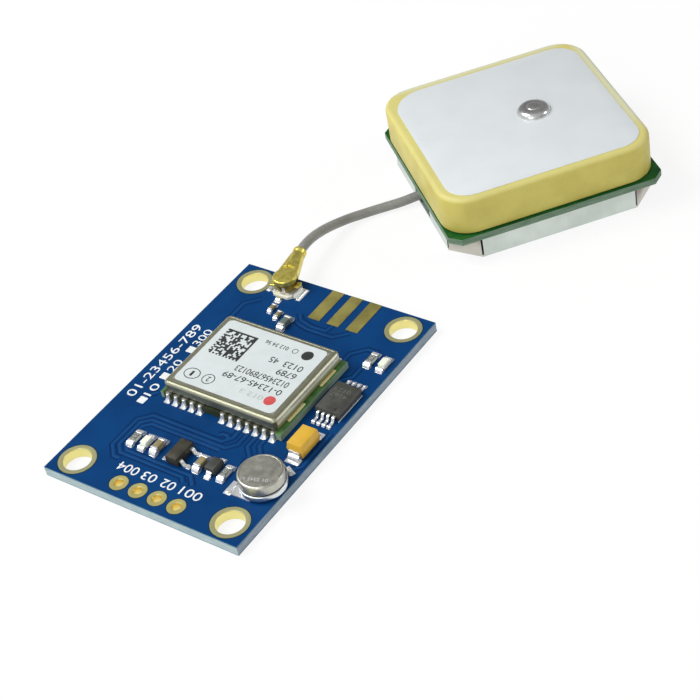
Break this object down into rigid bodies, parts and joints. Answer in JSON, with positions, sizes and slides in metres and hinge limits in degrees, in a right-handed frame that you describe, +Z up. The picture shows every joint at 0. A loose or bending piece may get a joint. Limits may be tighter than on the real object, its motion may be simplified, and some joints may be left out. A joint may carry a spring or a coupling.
{
  "type": "satellite navigation receiver module",
  "caption": "Blue satellite receiver board with a shielded radio module and a thin coaxial lead to a square ceramic patch antenna.",
  "frame": {"origin": "centre of the circuit board's underside, in the plane that board and antenna lie on", "axes": "+Z up through the board to its parts; +Y along the board from the header pads to the edge with the coaxial socket, towards the antenna; +X across the board to the side of the backup cell"},
  "size_m": [0.0369, 0.0813, 0.0089],
  "materials": {
    "mask_blue": "blue solder mask over glass-fibre laminate, satin",
    "gold": "thin gold plating over copper, satin",
    "module_green": "green solder mask over laminate",
    "shield_nickel": "nickel-silver sheet, satin",
    "label_paper": "white printed label",
    "moulded_black": "black epoxy mould",
    "moulded_white": "white plastic",
    "tin": "tin plate and solder, satin",
    "cell_steel": "stainless steel",
    "tantalum_yellow": "amber epoxy mould",
    "chip_ceramic": "tan ceramic with tinned ends",
    "resistor_film": "black film on ceramic with tinned ends",
    "cable_sheath": "grey fluoropolymer sheath",
    "antenna_ceramic": "cream dielectric ceramic, fired, matt",
    "silver_print": "fired silver print, matt",
    "foam_tape": "dark adhesive tape"
  },
  "bodies": {
    "root": {"circuit_board": "mask_blue", "mounting_hole_plating_1": "gold", "mounting_hole_plating_2": "gold", "mounting_hole_plating_3": "gold", "mounting_hole_plating_4": "gold", "header_pad_1": "gold", "header_pad_2": "gold", "header_pad_3": "gold", "header_pad_4": "gold", "edge_pad_1": "gold", "edge_pad_2": "gold", "edge_pad_3": "gold", "module_board": "module_green", "module_shield_frame": "shield_nickel", "module_shield_lid": "shield_nickel", "module_label": "label_paper", "receiver_chip": "moulded_black", "crystal_oscillator": "shield_nickel", "receiver_filter": "moulded_white", "coax_socket_base": "moulded_white", "coax_socket_shell": "tin", "coax_socket_pin": "gold", "coax_plug_shell": "gold", "coax_plug_insulator": "moulded_white", "coax_plug_contact": "gold", "coax_cable": "cable_sheath", "memory_chip": "moulded_black", "voltage_regulator": "moulded_black", "diode": "moulded_black", "tantalum_body": "tantalum_yellow", "tantalum_terminal_1": "tin", "tantalum_terminal_2": "tin", "resistor_1": "resistor_film", "resistor_2": "resistor_film", "resistor_3": "resistor_film", "capacitor_1": "chip_ceramic", "capacitor_2": "chip_ceramic", "capacitor_3": "chip_ceramic", "matching_part_1": "chip_ceramic", "matching_part_2": "chip_ceramic", "status_led_1": "moulded_white", "status_led_2": "moulded_white", "cell_case": "cell_steel", "cell_gasket": "moulded_black", "cell_cap": "cell_steel", "cell_tab_1": "tin", "cell_tab_2": "tin", "antenna_shield": "tin", "antenna_board": "module_green", "antenna_adhesive": "foam_tape", "antenna_ceramic": "antenna_ceramic", "antenna_electrode": "silver_print", "antenna_feed_pin": "tin", "amplifier_chip": "moulded_black", "antenna_filter": "shield_nickel", "coax_solder": "tin"}
  },
  "joints": []
}
